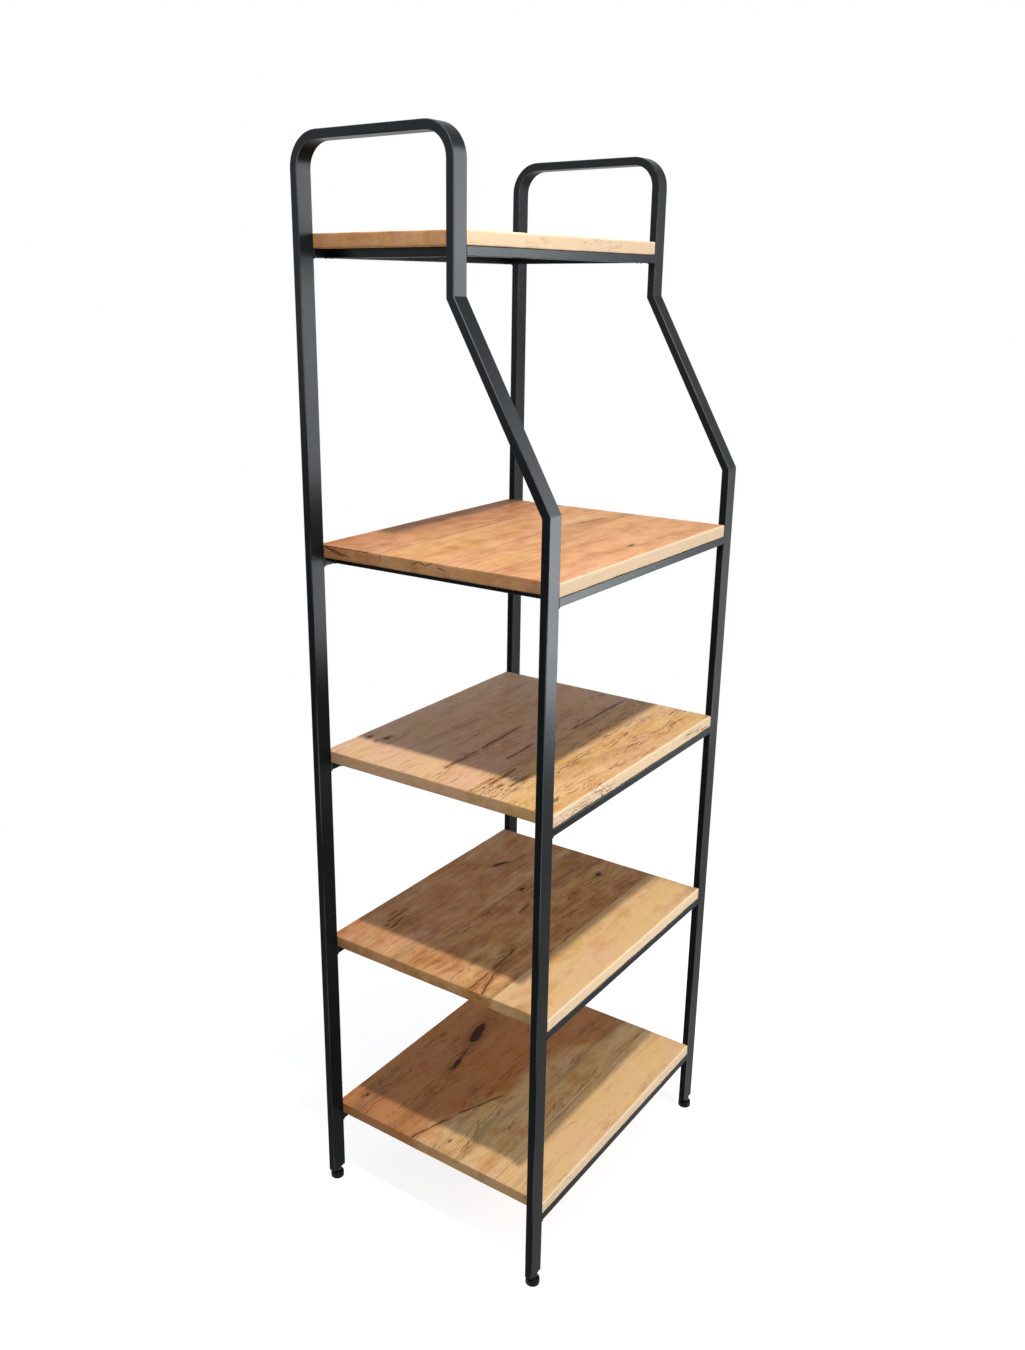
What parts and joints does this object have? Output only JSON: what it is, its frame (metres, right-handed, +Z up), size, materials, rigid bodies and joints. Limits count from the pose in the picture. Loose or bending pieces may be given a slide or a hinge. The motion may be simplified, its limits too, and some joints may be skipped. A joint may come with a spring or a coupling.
{
  "type": "kitchen rack",
  "caption": "Open kitchen rack: black flat-tube side frames, drawn in by a slope at the top, carry solid wood boards on welded rails and stand on levelling glides.",
  "frame": {"origin": "on the floor, mid-way between the legs", "axes": "+Z up, -Y towards the front, the side with the slope; +X to the right seen from the front"},
  "size_m": [0.55, 0.422, 1.645],
  "materials": {
    "black_powder_coat": "satin black powder coat on welded steel tube",
    "mango_wood": "clear-waxed solid mango wood, glued up from planks along the width",
    "black_steel": "black oxide on turned steel",
    "black_plastic": "matt moulded plastic"
  },
  "bodies": {
    "frame": {"left_hoop_tube": "black_powder_coat", "left_slope_tube": "black_powder_coat", "left_front_leg": "black_powder_coat", "right_hoop_tube": "black_powder_coat", "right_slope_tube": "black_powder_coat", "right_front_leg": "black_powder_coat", "bottom_front_rail": "black_powder_coat", "bottom_back_rail": "black_powder_coat", "bottom_left_cross_bar": "black_powder_coat", "bottom_right_cross_bar": "black_powder_coat", "lower_front_rail": "black_powder_coat", "lower_back_rail": "black_powder_coat", "lower_left_cross_bar": "black_powder_coat", "lower_right_cross_bar": "black_powder_coat", "middle_front_rail": "black_powder_coat", "middle_back_rail": "black_powder_coat", "middle_left_cross_bar": "black_powder_coat", "middle_right_cross_bar": "black_powder_coat", "upper_front_rail": "black_powder_coat", "upper_back_rail": "black_powder_coat", "upper_left_cross_bar": "black_powder_coat", "upper_right_cross_bar": "black_powder_coat", "top_front_rail": "black_powder_coat", "top_back_rail": "black_powder_coat", "top_left_cross_bar": "black_powder_coat", "top_right_cross_bar": "black_powder_coat", "bottom_board": "mango_wood", "lower_board": "mango_wood", "middle_board": "mango_wood", "upper_board": "mango_wood", "top_board": "mango_wood", "bottom_board_screws": "black_steel", "lower_board_screws": "black_steel", "middle_board_screws": "black_steel", "upper_board_screws": "black_steel", "top_board_screws": "black_steel", "front_left_leg_plug": "black_plastic", "front_right_leg_plug": "black_plastic", "back_left_leg_plug": "black_plastic", "back_right_leg_plug": "black_plastic"},
    "front_left_glide_pad": {"front_left_glide_pad": "black_plastic"},
    "front_left_glide_stem": {"front_left_glide_stem": "black_steel"},
    "front_right_glide_pad": {"front_right_glide_pad": "black_plastic"},
    "front_right_glide_stem": {"front_right_glide_stem": "black_steel"},
    "back_left_glide_pad": {"back_left_glide_pad": "black_plastic"},
    "back_left_glide_stem": {"back_left_glide_stem": "black_steel"},
    "back_right_glide_pad": {"back_right_glide_pad": "black_plastic"},
    "back_right_glide_stem": {"back_right_glide_stem": "black_steel"}
  },
  "joints": [
    {"name": "front_left_glide_height", "type": "slide", "parent": "frame", "child": "front_left_glide_pad", "axis": [0, 0, 1], "range_m": [-0.012, 0]},
    {"name": "front_left_glide_turn", "type": "hinge", "parent": "front_left_glide_pad", "child": "front_left_glide_stem", "pos_m": [-0.261, -0.2, 0.012], "axis": [0, 0, 1], "continuous": true},
    {"name": "front_right_glide_height", "type": "slide", "parent": "frame", "child": "front_right_glide_pad", "axis": [0, 0, 1], "range_m": [-0.012, 0]},
    {"name": "front_right_glide_turn", "type": "hinge", "parent": "front_right_glide_pad", "child": "front_right_glide_stem", "pos_m": [0.261, -0.2, 0.012], "axis": [0, 0, 1], "continuous": true},
    {"name": "back_left_glide_height", "type": "slide", "parent": "frame", "child": "back_left_glide_pad", "axis": [0, 0, 1], "range_m": [-0.012, 0]},
    {"name": "back_left_glide_turn", "type": "hinge", "parent": "back_left_glide_pad", "child": "back_left_glide_stem", "pos_m": [-0.261, 0.2, 0.012], "axis": [0, 0, 1], "continuous": true},
    {"name": "back_right_glide_height", "type": "slide", "parent": "frame", "child": "back_right_glide_pad", "axis": [0, 0, 1], "range_m": [-0.012, 0]},
    {"name": "back_right_glide_turn", "type": "hinge", "parent": "back_right_glide_pad", "child": "back_right_glide_stem", "pos_m": [0.261, 0.2, 0.012], "axis": [0, 0, 1], "continuous": true}
  ],
  "couplings": [
    {"joint": "front_left_glide_turn", "follows": "front_left_glide_height", "rad_per_m": 6283.2},
    {"joint": "front_right_glide_turn", "follows": "front_right_glide_height", "rad_per_m": 6283.2},
    {"joint": "back_left_glide_turn", "follows": "back_left_glide_height", "rad_per_m": 6283.2},
    {"joint": "back_right_glide_turn", "follows": "back_right_glide_height", "rad_per_m": 6283.2}
  ]
}
